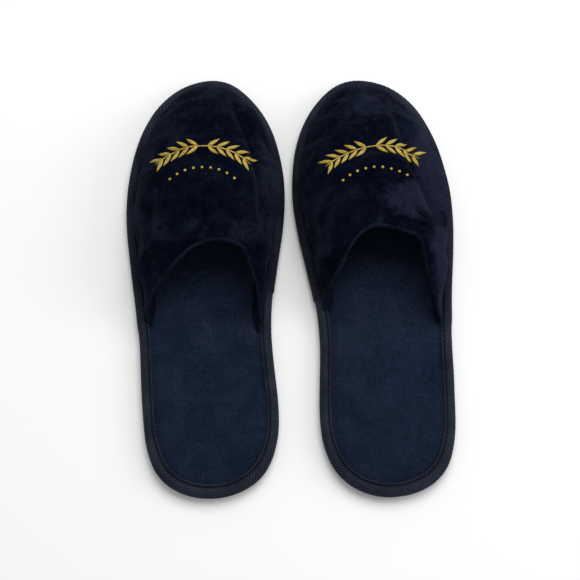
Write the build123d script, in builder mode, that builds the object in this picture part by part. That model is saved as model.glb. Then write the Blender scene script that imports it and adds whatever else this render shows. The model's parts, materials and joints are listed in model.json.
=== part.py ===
"""A pair of closed-toe spa slippers, in millimetres.

Each slipper is drawn once as a right-foot slipper in its own frame: toe towards +Y, arch on the -X side,
underside at Z = 0. The left slipper is its mirror image. The pair stands side by side on Z = 0 with the
origin under the middle of the pair.
"""

import os
from math import cos, pi, radians, sin, sqrt

from build123d import *

# ---- sole outline, outside of the binding: (Y, arch-side half width, outer half width) ----
TOE_TIP = (0.6, 145.0)
HEEL_TIP = (-5.5, -145.0)
SOLE_STATIONS = [
    (130.0, 31.6, 29.8),
    (90.0, 50.0, 48.7),
    (57.0, 53.3, 53.2),
    (-20.0, 45.0, 44.9),
    (-60.0, 47.2, 41.4),
    (-105.0, 49.4, 37.2),
    (-132.0, 38.4, 27.3),
]
RIM_POINTS = 14

# ---- where each slipper stands: middle of the sole, and its turn about Z in degrees ----
RIGHT_PLACE, RIGHT_TURN = (60.9, 7.1), 5.3
LEFT_PLACE, LEFT_TURN = (-57.9, 6.0), 0.1

# ---- edge binding: a woven tape folded round the sole's edge ----
BINDING_T = 1.0
BINDING_COVER = 9.0
BINDING_BOTTOM = 0.35
EDGE_ROUND = 3.5
CLEARANCE = 0.2

# ---- sole layers, from the floor up ----
OUTSOLE_TOP = 4.6
BOARD_TOP = 5.4
FOAM_TOP = 8.5
INSOLE_TOP = 9.8
CORE_BOTTOM = BINDING_BOTTOM + BINDING_T
BINDING_TOP = INSOLE_TOP + BINDING_T

# ---- seam through the binding: distance in from the edge, thread width and height ----
SEAM_IN = 6.6
THREAD_WIDTH = 0.6
THREAD_HEIGHT = 0.25

# ---- upper: three layers over the forefoot, from the outside in ----
UPPER_IN = BINDING_COVER + 0.8
SHELL_T = 1.2
PADDING_T = 3.0
LINING_T = 1.0
BACKING_T = 0.3
UPPER_T = SHELL_T + PADDING_T + LINING_T
MARGIN_T = 0.7
MARGIN_IN = 4.0
MARGIN_END_Y = -34.0
TOE_BOX_RISE = 35.0
TOE_BOX_RUN = 75.0
INSTEP_RISE = 0.10
INSTEP_START = 25.0
ARCH_POWER = 2.4

# ---- throat of the upper: half an ellipse in plan, open towards the heel ----
THROAT_END_Y = -32.0
THROAT_X = -0.5
THROAT_HALF_WIDTH = 36.0
THROAT_DEPTH = 56.0
TRIM_WIDTH = 1.6

# ---- embroidered garland on the toe box: leaf pairs along an arched stem, berries below it ----
GARLAND_AT = (0.0, 30.0)
STEM_RADIUS = 52.0
STEM_SWEEP = 37.0
STEM_WIDTH = 0.9
LEAF_ANGLES = (3.0, 9.8, 16.6, 23.4, 30.2)
LEAF_SPLAY = 36.0
LEAF_LENGTH = 10.0
LEAF_WIDTH = 2.4
BERRY_RADIUS = 0.9
BERRY_ARC_RADIUS = 36.0
BERRY_ANGLES = (-36, -27, -18, -9, 0, 9, 18, 27, 36)
EMBROIDERY_T = 0.7

TALL = 100.0


def sole_face(inset=0.0):
    """The sole's outline as a face of tangent arcs, moved inwards by inset."""
    outer = [(out, y) for y, _, out in SOLE_STATIONS]
    arch = [(-arch, y) for y, arch, _ in reversed(SOLE_STATIONS)]
    rim = Spline([TOE_TIP, *outer, HEEL_TIP, *arch], periodic=True)
    places = []
    for i in range(RIM_POINTS):
        heading = rim % (i / RIM_POINTS)
        places.append((rim @ (i / RIM_POINTS) + heading.rotate(Axis.Z, -90) * inset, heading))
    with BuildSketch() as plan:
        with BuildLine():
            for (start, leaving), (end, arriving) in zip(places, places[1:] + places[:1]):
                chord, turn = end - start, 1 - leaving.dot(arriving)
                along = chord.dot(leaving + arriving)
                reach = (sqrt(along**2 + 2 * turn * chord.dot(chord)) - along) / (2 * turn)
                corner_1, corner_2 = start + leaving * reach, end - arriving * reach
                joint = (corner_1 + corner_2) / 2
                TangentArc(start, joint, tangent=leaving)
                TangentArc(joint, end, tangent=corner_2 - corner_1)
        make_face()
    return plan.sketch


def sole_slab(inset, bottom, top):
    """A plain slab of the sole's outline."""
    with BuildPart() as slab:
        with BuildSketch(Plane.XY.offset(bottom)):
            add(sole_face(inset))
        extrude(amount=top - bottom)
    return slab.part


def rounded_block(inset, bottom, top, rounding):
    """A slab of the sole's outline with both rims rounded."""
    with BuildPart() as block:
        add(sole_slab(inset, bottom, top))
        fillet(block.faces().filter_by(Axis.Z).edges(), rounding)
    return block.part


CORE = rounded_block(BINDING_T, CORE_BOTTOM, INSOLE_TOP, EDGE_ROUND - BINDING_T)


def sole_layer(bottom, top):
    """One layer of the sole, filling the room inside the binding."""
    with BuildPart() as layer:
        add(CORE)
        add(sole_slab(0, bottom, top), mode=Mode.INTERSECT)
    return layer.part


def cross_span(face, y):
    """The X of face's two sides at Y = y."""
    cut = Edge.make_line((-TALL, y), (TALL, y)).intersect(face.faces()[0])
    xs = [v.X for edge in cut for v in edge.vertices()]
    return min(xs), max(xs)


def dome(depth):
    """The upper's outer form moved inwards by depth, as a solid standing on the insole."""
    plan = sole_face(UPPER_IN + depth)
    tip_y = plan.bounding_box().max.Y
    rise, run = TOE_BOX_RISE - depth, TOE_BOX_RUN - depth
    back = [run * (1 - cos(radians(a))) for a in (6, 14, 26, 40, 55, 72, 90)]
    length = tip_y - MARGIN_END_Y
    back += [run + (length - run) * share for share in (0.2, 0.4, 0.6, 0.8, 1.0)]
    with BuildPart() as form:
        for s in back:
            low_x, high_x = cross_span(plan, tip_y - s)
            middle, half = (low_x + high_x) / 2, (high_x - low_x) / 2
            height = rise * sqrt(1 - (1 - min(s / run, 1)) ** 2) + INSTEP_RISE * max(s - INSTEP_START, 0)
            arch = []
            for i in range(9):
                a = pi * i / 8
                x = middle + half * abs(cos(a)) ** (2 / ARCH_POWER) * (1 if a < pi / 2 else -1)
                arch.append((x, INSOLE_TOP + height * abs(sin(a)) ** (2 / ARCH_POWER)))
            with BuildSketch(Plane.XZ.offset(s - tip_y)):
                with BuildLine():
                    Spline(arch, tangents=[(0, 1), (0, -1)])
                    Line(arch[-1], arch[0])
                make_face()
        loft()
    return form.part


def throat_block(grow):
    """Everything inside and behind the throat's edge, with the edge moved forward by grow."""
    with BuildPart() as block:
        with BuildSketch():
            with Locations((THROAT_X, THROAT_END_Y)):
                Ellipse(THROAT_HALF_WIDTH + grow, THROAT_DEPTH + grow)
            with Locations((0, THROAT_END_Y + grow)):
                Rectangle(2 * TALL, TALL, align=(Align.CENTER, Align.MAX))
        extrude(amount=TALL)
    return block.part


DOMES = {d: dome(d) for d in (-EMBROIDERY_T, 0, SHELL_T, SHELL_T + BACKING_T, SHELL_T + PADDING_T, UPPER_T)}


def upper_layer(outer_depth, inner_depth, throat):
    """One layer of the upper between two depths, open in front of throat."""
    with BuildPart() as layer:
        add(DOMES[outer_depth])
        add(DOMES[inner_depth], mode=Mode.SUBTRACT)
        add(throat_block(throat), mode=Mode.SUBTRACT)
    return layer.part


def outsole():
    """Moulded foam sole: its rim is stepped up to make room for the binding below it."""
    with BuildPart() as sole:
        add(sole_layer(CORE_BOTTOM, OUTSOLE_TOP))
        add(sole_slab(BINDING_COVER + CLEARANCE, 0, CORE_BOTTOM))
    return sole.part


def upper_margin():
    """The upper's sewn-in edge, pressed into the insole under the binding."""
    with BuildPart() as margin:
        add(sole_slab(MARGIN_IN, INSOLE_TOP - MARGIN_T, INSOLE_TOP))
        add(sole_slab(UPPER_IN + SHELL_T / 2, 0, TALL), mode=Mode.SUBTRACT)
        with BuildSketch():
            with Locations((0, MARGIN_END_Y)):
                Rectangle(2 * TALL, 2 * TALL, align=(Align.CENTER, Align.MAX))
        extrude(amount=TALL, mode=Mode.SUBTRACT)
    return margin.part


def insole_cover(margin):
    """The velour that the foot stands on, thinner where the upper's margin is sewn onto it."""
    with BuildPart() as cover:
        add(sole_layer(FOAM_TOP, INSOLE_TOP))
        add(margin, mode=Mode.SUBTRACT)
    return cover.part


def edge_binding():
    """Woven tape folded over the sole's rim, a C in section all the way round."""
    with BuildPart() as tape:
        add(rounded_block(0, BINDING_BOTTOM, BINDING_TOP, EDGE_ROUND))
        add(CORE, mode=Mode.SUBTRACT)
        add(sole_slab(BINDING_COVER, 0, TALL), mode=Mode.SUBTRACT)
    return tape.part


def seam_thread(bottom):
    """One thread of the lockstitch that goes round the sole."""
    with BuildPart() as thread:
        add(sole_slab(SEAM_IN, bottom, bottom + THREAD_HEIGHT))
        add(sole_slab(SEAM_IN + THREAD_WIDTH, 0, TALL), mode=Mode.SUBTRACT)
    return thread.part


def upper_shell(margin):
    """The outer velour with its sewn-in margin."""
    with BuildPart() as shell:
        add(DOMES[0])
        add(margin)
        add(DOMES[SHELL_T], mode=Mode.SUBTRACT)
        add(throat_block(TRIM_WIDTH), mode=Mode.SUBTRACT)
    return shell.part


def embroidery_backing():
    """An oval of stiff non-woven behind the embroidery, between the shell and the padding."""
    with BuildPart() as backing:
        with BuildSketch():
            with Locations((GARLAND_AT[0], GARLAND_AT[1] + BERRY_ARC_RADIUS + LEAF_WIDTH)):
                Ellipse(STEM_RADIUS * sin(radians(STEM_SWEEP)), STEM_RADIUS / 2)
        extrude(amount=TALL)
        add(DOMES[SHELL_T], mode=Mode.INTERSECT)
        add(DOMES[SHELL_T + BACKING_T], mode=Mode.SUBTRACT)
    return backing.part


def upper_padding(backing):
    """The soft foam between shell and lining."""
    with BuildPart() as padding:
        add(upper_layer(SHELL_T, SHELL_T + PADDING_T, TRIM_WIDTH))
        add(backing, mode=Mode.SUBTRACT)
    return padding.part


def throat_trim():
    """The turned edge that closes the layers round the throat."""
    with BuildPart() as trim:
        add(upper_layer(0, UPPER_T, 0))
        add(throat_block(TRIM_WIDTH), mode=Mode.INTERSECT)
    return trim.part


def leaf():
    """One pointed leaf, growing along +X from the origin."""
    with BuildSketch() as blade:
        with BuildLine():
            ThreePointArc((0, 0), (LEAF_LENGTH / 2, LEAF_WIDTH / 2), (LEAF_LENGTH, 0))
            ThreePointArc((LEAF_LENGTH, 0), (LEAF_LENGTH / 2, -LEAF_WIDTH / 2), (0, 0))
        make_face()
    return blade.sketch


def embroidery():
    """Leaf pairs that grow from both ends of an arched stem to its middle, over a row of berries."""
    middle = Location(GARLAND_AT)
    with BuildPart() as garland:
        with BuildSketch():
            SlotArc(CenterArc(GARLAND_AT, STEM_RADIUS, 90 - STEM_SWEEP, 2 * STEM_SWEEP), STEM_WIDTH)
            for angle in LEAF_ANGLES:
                for side in (1, -1):
                    for splay in (LEAF_SPLAY, -LEAF_SPLAY):
                        on_stem = Location((0, STEM_RADIUS), 90 + side * (90 + splay))
                        with Locations(middle * Location((0, 0), side * angle) * on_stem):
                            add(leaf())
            for angle in BERRY_ANGLES:
                with Locations(middle * Location((0, 0), angle) * Location((0, BERRY_ARC_RADIUS))):
                    Circle(BERRY_RADIUS)
        extrude(amount=TALL)
        add(DOMES[-EMBROIDERY_T], mode=Mode.INTERSECT)
        add(DOMES[0], mode=Mode.SUBTRACT)
    return garland.part


def right_slipper():
    """Every piece of one slipper, by name, in the slipper's own frame."""
    margin = upper_margin()
    backing = embroidery_backing()
    return {
        "outsole": outsole(),
        "stiffener_board": sole_layer(OUTSOLE_TOP, BOARD_TOP),
        "cushion_foam": sole_layer(BOARD_TOP, FOAM_TOP),
        "insole_cover": insole_cover(margin),
        "edge_binding": edge_binding(),
        "seam_needle_thread": seam_thread(BINDING_TOP),
        "seam_bobbin_thread": seam_thread(BINDING_BOTTOM - THREAD_HEIGHT),
        "upper_shell": upper_shell(margin),
        "upper_padding": upper_padding(backing),
        "upper_lining": upper_layer(SHELL_T + PADDING_T, UPPER_T, TRIM_WIDTH),
        "throat_trim": throat_trim(),
        "embroidery": embroidery(),
        "embroidery_backing": backing,
    }


def pair_centre():
    """The middle, in plan, of the box that holds both soles."""
    soles = [
        sole_face().moved(Location(RIGHT_PLACE, RIGHT_TURN)),
        mirror(sole_face(), about=Plane.YZ).moved(Location(LEFT_PLACE, LEFT_TURN)),
    ]
    boxes = [sole.bounding_box() for sole in soles]
    low = Vector(min(b.min.X for b in boxes), min(b.min.Y for b in boxes))
    high = Vector(max(b.max.X for b in boxes), max(b.max.Y for b in boxes))
    return (low + high) / 2


def main():
    os.makedirs("parts", exist_ok=True)
    centre = pair_centre()
    right = Location(Vector(*RIGHT_PLACE) - centre, RIGHT_TURN)
    left = Location(Vector(*LEFT_PLACE) - centre, LEFT_TURN)
    for name, piece in right_slipper().items():
        for side, placed in (
            ("right", piece.moved(right)),
            ("left", mirror(piece, about=Plane.YZ).moved(left)),
        ):
            placed.label = f"{side}_{name}"
            export_step(placed, f"parts/{placed.label}.step")


main()
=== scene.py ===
"""The visual model of a pair of closed-toe spa slippers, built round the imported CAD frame.

Lengths are in millimetres until they reach a mesh. Each slipper is worked out in its own frame, as the
right-foot slipper: toe towards +Y, arch on the -X side. "arch" and "outer" below mean those two sides.
"""

import json
from math import cos, pi, radians, sin

import bpy
import numpy as np
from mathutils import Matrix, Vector
from mathutils.bvhtree import BVHTree


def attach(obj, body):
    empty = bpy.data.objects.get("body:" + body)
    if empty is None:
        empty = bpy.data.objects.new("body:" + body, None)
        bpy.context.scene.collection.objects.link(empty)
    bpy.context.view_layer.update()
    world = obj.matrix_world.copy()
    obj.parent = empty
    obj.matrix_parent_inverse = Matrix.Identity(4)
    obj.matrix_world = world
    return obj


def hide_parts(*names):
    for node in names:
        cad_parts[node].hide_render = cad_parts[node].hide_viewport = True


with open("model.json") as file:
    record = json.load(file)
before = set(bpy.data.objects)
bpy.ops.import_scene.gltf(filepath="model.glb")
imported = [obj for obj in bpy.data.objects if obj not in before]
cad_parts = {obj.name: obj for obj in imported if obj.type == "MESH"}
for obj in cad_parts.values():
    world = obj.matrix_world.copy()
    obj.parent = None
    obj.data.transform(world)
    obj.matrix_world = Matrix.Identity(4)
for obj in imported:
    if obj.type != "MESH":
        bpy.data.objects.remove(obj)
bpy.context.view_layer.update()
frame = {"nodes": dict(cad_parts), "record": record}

MM = 0.001
SIDES = ("left", "right")
TURN = {"left": 0.1, "right": 5.3}
PLACE = {m["name"].split("_")[0]: np.array(m["pos_m"][:2]) / MM for m in frame["record"]["mounts"]}
# Added to every random seed, so that each slipper is uneven in its own way.
OWN_SEED = {"left": 1, "right": 2}

# ---- heights and depths of the layers, as in the CAD model ----
INSOLE_TOP = 9.8
INSOLE_BOTTOM = 8.5
OUTSOLE_TOP = 4.6
UPPER_IN = 9.8
SHELL_T = 1.2
PADDING_END = 4.2
UPPER_T = 5.2
TOE_RISE = 35.0
TOE_RUN = 75.0
INSTEP_RISE = 0.10
INSTEP_START = 25.0
ARCH_POWER = 2.4


# ---- frames and outline ----


def turned(points, angle, at=(0.0, 0.0)):
    """Plan points turned by an angle in degrees, then moved by at."""
    a = radians(angle)
    p = np.array(points, float)
    return np.column_stack([p[:, 0] * cos(a) - p[:, 1] * sin(a) + at[0],
                            p[:, 0] * sin(a) + p[:, 1] * cos(a) + at[1]])


def to_row(points, side):
    """Points in a slipper's own frame, in mm, to the row's frame, in metres."""
    p = np.array(points, float).reshape(-1, 3)
    if side == "left":
        p[:, 0] *= -1
    return np.column_stack([turned(p[:, :2], TURN[side], PLACE[side]), p[:, 2]]) * MM


def from_row(points, side):
    """Points in the row's frame, in metres, to a slipper's own frame, in mm."""
    p = np.array(points, float).reshape(-1, 3) / MM
    q = np.column_stack([turned(p[:, :2] - PLACE[side], -TURN[side]), p[:, 2]])
    if side == "left":
        q[:, 0] *= -1
    return q


def blur(values, sigma, closed=False):
    """values smoothed along their first axis, sigma in samples."""
    reach = int(3 * sigma) + 1
    kernel = np.exp(-0.5 * (np.arange(-reach, reach + 1) / sigma) ** 2)
    kernel /= kernel.sum()
    flat = values.reshape(len(values), -1)
    padded = np.pad(flat, ((reach, reach), (0, 0)), mode="wrap" if closed else "edge")
    out = np.column_stack([np.convolve(padded[:, i], kernel, mode="valid") for i in range(flat.shape[1])])
    return out.reshape(values.shape)


def resampled(line, along, at):
    """The points of a line at the lengths at, where along says how far along its own points are."""
    return np.column_stack([np.interp(at, along, values) for values in line.T])


def sole_rim(count=1700, smoothing=3.0):
    """The sole's outline from the CAD binding's outer wall: count points, evenly spaced, clockwise."""
    mesh = frame["nodes"]["right_edge_binding"].data
    found = set()
    for face in mesh.polygons:
        corners = from_row([mesh.vertices[i].co for i in face.vertices], "right")
        if np.ptp(corners[:, 2]) < 2.0:
            continue
        tip = from_row([Vector(face.center) + Vector(face.normal) * MM], "right")[0]
        centre = from_row([face.center], "right")[0]
        outwards = tip - centre
        if abs(outwards[2]) < 0.1 and outwards[:2] @ centre[:2] > 0:
            found.update((round(x, 2), round(y, 2)) for x, y, _ in corners)
    rim = np.array(sorted(found, key=lambda p: -np.arctan2(p[1], p[0])))
    closed = np.vstack([rim, rim[:1]])
    along = np.concatenate([[0], np.cumsum(np.hypot(*np.diff(closed, axis=0).T))])
    at = np.linspace(0, along[-1], count, endpoint=False)
    even = resampled(closed, along, at)
    return blur(even, smoothing * count / along[-1], closed=True), along[-1]


RIM, RIM_LENGTH = sole_rim()
AHEAD = np.roll(RIM, -1, axis=0) - np.roll(RIM, 1, axis=0)
AHEAD /= np.hypot(*AHEAD.T)[:, None]
INWARDS = np.column_stack([AHEAD[:, 1], -AHEAD[:, 0]])


def inset_rim(inset):
    return RIM + INWARDS * inset


def spans(inset, y):
    """Arch-side and outer X of the outline moved in by inset, at each Y."""
    rim = inset_rim(inset)
    top, bottom = int(np.argmax(rim[:, 1])), int(np.argmin(rim[:, 1]))
    turned = np.roll(rim, -top, axis=0)
    cut = (bottom - top) % len(rim)
    outer, arch = turned[: cut + 1][::-1], np.vstack([turned[cut:], turned[:1]])
    low = np.interp(y, arch[:, 1], arch[:, 0])
    high = np.interp(y, outer[:, 1], outer[:, 0])
    return low, high


def tips(inset):
    rim = inset_rim(inset)
    return rim[:, 1].min(), rim[:, 1].max()


# ---- numbers that vary smoothly ----


def smoothstep(x, low, high):
    t = np.clip((np.asarray(x, float) - low) / (high - low), 0, 1)
    return t * t * (3 - 2 * t)


def bell(x, width):
    return np.exp(-((x / width) ** 2))


def waves(x, y, size, seed, count=10):
    """Smooth uneven noise in about -1 to 1, with features about size mm across."""
    draw = np.random.default_rng(seed)
    total = np.zeros(np.broadcast(x, y).shape)
    for _ in range(count):
        heading, phase = draw.uniform(0, 2 * pi, 2)
        pitch = size * draw.uniform(0.7, 1.6)
        total += np.sin((x * cos(heading) + y * sin(heading)) * 2 * pi / pitch + phase)
    return total / np.sqrt(count)


def run_along(line):
    """How far along a polyline each of its points is."""
    return np.concatenate([[0], np.cumsum(np.linalg.norm(np.diff(line, axis=0), axis=1))])


def unit(vectors):
    return vectors / np.linalg.norm(vectors, axis=1)[:, None]


def between(a, b, share):
    return a + (b - a) * share


def smooth_curve(points, count):
    """A Catmull-Rom curve through points, sampled evenly by length."""
    p = np.array(points, float)
    p = np.vstack([2 * p[0] - p[1], p, 2 * p[-1] - p[-2]])
    t = np.linspace(0, 1, 24, endpoint=False)[:, None]
    fine = []
    for a, b, c, d in zip(p, p[1:], p[2:], p[3:]):
        fine.append(0.5 * (2 * b + (c - a) * t + (2 * a - 5 * b + 4 * c - d) * t**2
                           + (3 * b - a - 3 * c + d) * t**3))
    fine = np.vstack([*fine, p[-2:-1]])
    along = run_along(fine)
    return resampled(fine, along, np.linspace(0, along[-1], count))


def distance_to(line, x, y):
    """Signed plan distance of each point to a polyline: positive on its right-hand side. Also the share
    of the line's length at the nearest point."""
    best = np.full(x.shape, 1e9)
    signed, share = np.zeros(x.shape), np.zeros(x.shape)
    for i, (a, b) in enumerate(zip(line, line[1:])):
        d = b - a
        t = np.clip(((x - a[0]) * d[0] + (y - a[1]) * d[1]) / (d @ d), 0, 1)
        px, py = x - a[0] - t * d[0], y - a[1] - t * d[1]
        r = np.hypot(px, py)
        near = r < best
        best = np.where(near, r, best)
        signed = np.where(near, r * np.sign(px * d[1] - py * d[0]), signed)
        share = np.where(near, (i + t) / (len(line) - 1), share)
    return signed, share


# ---- meshes ----


def grid_faces(rows, columns, wrap_rows=False, wrap_columns=False, start=0):
    r = np.arange(rows if wrap_rows else rows - 1)[:, None]
    c = np.arange(columns if wrap_columns else columns - 1)[None, :]
    r2, c2 = (r + 1) % rows, (c + 1) % columns
    quads = np.stack([r * columns + c, r * columns + c2, r2 * columns + c2, r2 * columns + c], axis=-1)
    return (quads.reshape(-1, 4) + start).tolist()


def border(rows, columns, start=0):
    """Indices round the edge of an open grid."""
    top = list(range(columns))
    right = [r * columns + columns - 1 for r in range(1, rows)]
    bottom = [(rows - 1) * columns + c for c in range(columns - 2, -1, -1)]
    left = [r * columns for r in range(rows - 2, 0, -1)]
    return [start + i for i in top + right + bottom + left]


def slab(top, bottom):
    """A closed sheet between two grids of the same shape."""
    rows, columns = top.shape[:2]
    n = rows * columns
    faces = grid_faces(rows, columns)
    faces += [f[::-1] for f in grid_faces(rows, columns, start=n)]
    ring = border(rows, columns)
    faces += [[b, a, a + n, b + n] for a, b in zip(ring, ring[1:] + ring[:1])]
    return np.vstack([top.reshape(-1, 3), bottom.reshape(-1, 3)]), faces


def plate(top, bottom_z):
    """A closed plate: a grid on top and one flat face below."""
    rows, columns = top.shape[:2]
    n = rows * columns
    ring = border(rows, columns)
    under = top.reshape(-1, 3)[ring].copy()
    under[:, 2] = bottom_z
    faces = grid_faces(rows, columns)
    m = len(ring)
    faces += [[ring[(i + 1) % m], ring[i], n + i, n + (i + 1) % m] for i in range(m)]
    faces.append([n + i for i in range(m)][::-1])
    return np.vstack([top.reshape(-1, 3), under]), faces


def ring_solid(grid):
    """A closed tube: rows go round the slipper and columns round the section."""
    return grid.reshape(-1, 3), grid_faces(*grid.shape[:2], wrap_rows=True, wrap_columns=True)


def capped_tube(grid):
    """A closed tube with flat ends: rows go along it and columns round it."""
    rows, columns = grid.shape[:2]
    n = rows * columns
    faces = grid_faces(rows, columns, wrap_columns=True)
    faces.append(list(range(columns)))
    faces.append(list(range(n - columns, n))[::-1])
    return grid.reshape(-1, 3), faces


def join(*solids):
    verts, faces, start = [], [], 0
    for v, f in solids:
        verts.append(v)
        faces += [[i + start for i in face] for face in f]
        start += len(v)
    return np.vstack(verts), faces


def add_object(name, data):
    obj = bpy.data.objects.new(name, data)
    bpy.context.scene.collection.objects.link(obj)
    return obj


def read_back(items, name, width, kind=float):
    """One property of every item in a mesh, width numbers to a row."""
    values = np.zeros(len(items) * width, kind)
    items.foreach_get(name, values)
    return values.reshape(-1, width)


def write_values(obj, name, values):
    """Stores one number per point of an object's mesh, for its material to read."""
    layer = obj.data.attributes.new(name, "FLOAT", "POINT")
    layer.data.foreach_set("value", values.astype(np.float32).ravel())


def make_piece(name, side, solid, material, nodes=(), uv=None):
    """A mesh object from a solid in the slipper's frame. Faces are turned so that they look outwards."""
    verts, faces = solid
    mesh = bpy.data.meshes.new(f"{side}_{name}")
    mesh.from_pydata(to_row(verts, side).tolist(), [], faces)
    if uv is not None:
        layer = mesh.uv_layers.new(name="weave")
        corner = read_back(mesh.loops, "vertex_index", 1, np.int32)
        layer.data.foreach_set("uv", uv[corner].astype(np.float32).ravel())
    mesh.polygons.foreach_set("use_smooth", [True] * len(mesh.polygons))
    mesh.materials.append(material)
    mesh.update()
    if signed_volume(mesh) < 0:
        mesh.flip_normals()
    obj = add_object(f"{side}_{name}", mesh)
    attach(obj, f"{side}_slipper")
    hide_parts(*[f"{side}_{node}" for node in nodes])
    return obj


def signed_volume(mesh):
    mesh.calc_loop_triangles()
    corners = read_back(mesh.loop_triangles, "vertices", 3, np.int32)
    a, b, c = read_back(mesh.vertices, "co", 3)[corners].transpose(1, 0, 2)
    return np.einsum("ij,ij->", a, np.cross(b, c))


# ---- materials ----


def set_inputs(node, values):
    for key, value in values.items():
        node.inputs[key].default_value = value


def shader(name, roughness, sheen=0.0, sheen_roughness=0.4, sheen_tint=(1, 1, 1), specular=0.3):
    mat = bpy.data.materials.new(name)
    mat.use_nodes = True
    tree = mat.node_tree
    bsdf = tree.nodes["Principled BSDF"]
    set_inputs(bsdf, {"Roughness": roughness, "Sheen Weight": sheen, "Sheen Roughness": sheen_roughness,
                      "Sheen Tint": (*sheen_tint, 1), "Specular IOR Level": specular})
    return mat, tree, bsdf


def noise(tree, scale, detail=3.0, roughness=0.55, distortion=0.0, vector=None):
    node = tree.nodes.new("ShaderNodeTexNoise")
    set_inputs(node, {"Scale": scale, "Detail": detail, "Roughness": roughness, "Distortion": distortion})
    tree.links.new(vector or coordinates(tree), node.inputs["Vector"])
    return node.outputs["Fac"]


def coordinates(tree, output="Object", stretch=None):
    node = tree.nodes.new("ShaderNodeTexCoord")
    if stretch is None:
        return node.outputs[output]
    mapping = tree.nodes.new("ShaderNodeMapping")
    mapping.inputs["Scale"].default_value = stretch
    tree.links.new(node.outputs[output], mapping.inputs["Vector"])
    return mapping.outputs["Vector"]


def attribute(tree, name):
    node = tree.nodes.new("ShaderNodeAttribute")
    node.attribute_name = name
    return node.outputs["Fac"]


def grey(level):
    return (level, level, level)


def ramp(tree, value, *stops):
    node = tree.nodes.new("ShaderNodeValToRGB")
    elements = node.color_ramp.elements
    while len(elements) < len(stops):
        elements.new(0.5)
    for element, (position, colour) in zip(elements, stops):
        element.position = position
        element.color = (*colour, 1)
    tree.links.new(value, node.inputs["Fac"])
    return node.outputs["Color"]


def mix(tree, factor, a, b, blend="MIX"):
    node = tree.nodes.new("ShaderNodeMix")
    node.data_type = "RGBA"
    node.blend_type = blend
    for key, value in ((0, factor), (6, a), (7, b)):
        if isinstance(value, (int, float)):
            node.inputs[key].default_value = value
        elif isinstance(value, tuple):
            node.inputs[key].default_value = (*value, 1)
        else:
            tree.links.new(value, node.inputs[key])
    return node.outputs[2]


def bump(tree, bsdf, height, distance, strength=1.0):
    node = tree.nodes.new("ShaderNodeBump")
    set_inputs(node, {"Distance": distance, "Strength": strength})
    tree.links.new(height, node.inputs["Height"])
    tree.links.new(node.outputs["Normal"], bsdf.inputs["Normal"])


def velour(name, dark, middle, light, patch_scale, sheen, tint, sheen_colour=None):
    """Short pile that lies in patches: each patch leans its own way, so it looks darker or lighter. Given a
    sheen colour, one value stored on the mesh lays painted sheen of that colour where the pile should look as
    if it caught the light, and another lays painted shade along the creases."""
    mat, tree, bsdf = shader(name, 1.0, sheen, 0.45, tint, 0.0)
    patches = noise(tree, patch_scale, 5, 0.62, 0.9)
    blotches = noise(tree, patch_scale * 6, 4, 0.65, 0.5)
    streaks = noise(tree, 1.0, 3, 0.6, 0.3, coordinates(tree, stretch=(420, 150, 260)))
    pile = noise(tree, 1150, 2, 0.75)
    base = ramp(tree, patches, (0.36, dark), (0.52, middle), (0.66, light))
    worn = mix(tree, ramp(tree, blotches, (0.46, grey(0)), (0.66, grey(0.32))), base, light)
    brushed = mix(tree, ramp(tree, streaks, (0.46, grey(0)), (0.66, grey(0.35))), worn, dark)
    # painted sheen: where the mesh's stored value says, the pile unevenly takes the lighter sheen colour
    if sheen_colour:
        painted_sheen = attribute(tree, "painted_sheen")
        uneven = tree.nodes.new("ShaderNodeMath")
        uneven.operation = "MULTIPLY_ADD"
        uneven.inputs[1].default_value = 0.9
        tree.links.new(blotches, uneven.inputs[0])
        tree.links.new(painted_sheen, uneven.inputs[2])
        sheen_share = ramp(tree, uneven.outputs[0], (0.62, grey(0)), (1.0, grey(0.8)))
        brushed = mix(tree, sheen_share, brushed, sheen_colour)
    specks = ramp(tree, pile, (0.36, (0.55, 0.55, 0.57)), (0.64, (1.45, 1.45, 1.43)))
    coloured = mix(tree, 1.0, brushed, specks, "MULTIPLY")
    # painted shade: darker along the fold and the rumples
    if sheen_colour:
        pressed = ramp(tree, attribute(tree, "painted_crease_shade"), (0, (1, 1, 1)), (1, (0.30, 0.30, 0.34)))
        coloured = mix(tree, 1.0, coloured, pressed, "MULTIPLY")
    tree.links.new(coloured, bsdf.inputs["Base Color"])
    bump(tree, bsdf, pile, 0.00050, 1.0)
    return mat


def woven_tape():
    """Braided tape: fine yarns run along each rib, and painted shade darkens the ribs' grooves."""
    mat, tree, bsdf = shader("binding_tape", 0.9, 0.04, 0.4, (0.75, 0.84, 1.0), 0.08)
    uv = coordinates(tree, "UV")
    wave = tree.nodes.new("ShaderNodeTexWave")
    set_inputs(wave, {"Scale": 0.62, "Distortion": 1.2, "Detail": 2})
    wave.bands_direction = "Y"
    tree.links.new(uv, wave.inputs["Vector"])
    fuzz = noise(tree, 2200, 2, 0.7)
    worn = noise(tree, 60, 3, 0.6)
    base = ramp(tree, worn, (0.36, (0.0105, 0.0135, 0.0235)), (0.66, (0.0210, 0.0255, 0.0400)))
    # painted shade and light from the mesh's rib values: dark in the ribs' grooves, the stitched groove and
    # round the forefoot, lighter on the ribs' crests
    shade = ramp(tree, attribute(tree, "rib"), (0.08, (0.13, 0.13, 0.16)), (0.80, grey(1.36)))
    yarn = ramp(tree, wave.outputs["Fac"], (0.2, grey(0.72)), (0.8, grey(1.22)))
    coloured = mix(tree, 1.0, mix(tree, 1.0, base, shade, "MULTIPLY"), yarn, "MULTIPLY")
    tree.links.new(coloured, bsdf.inputs["Base Color"])
    bump(tree, bsdf, mix(tree, 0.5, wave.outputs["Color"], fuzz), 0.00022, 0.8)
    return mat


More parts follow.
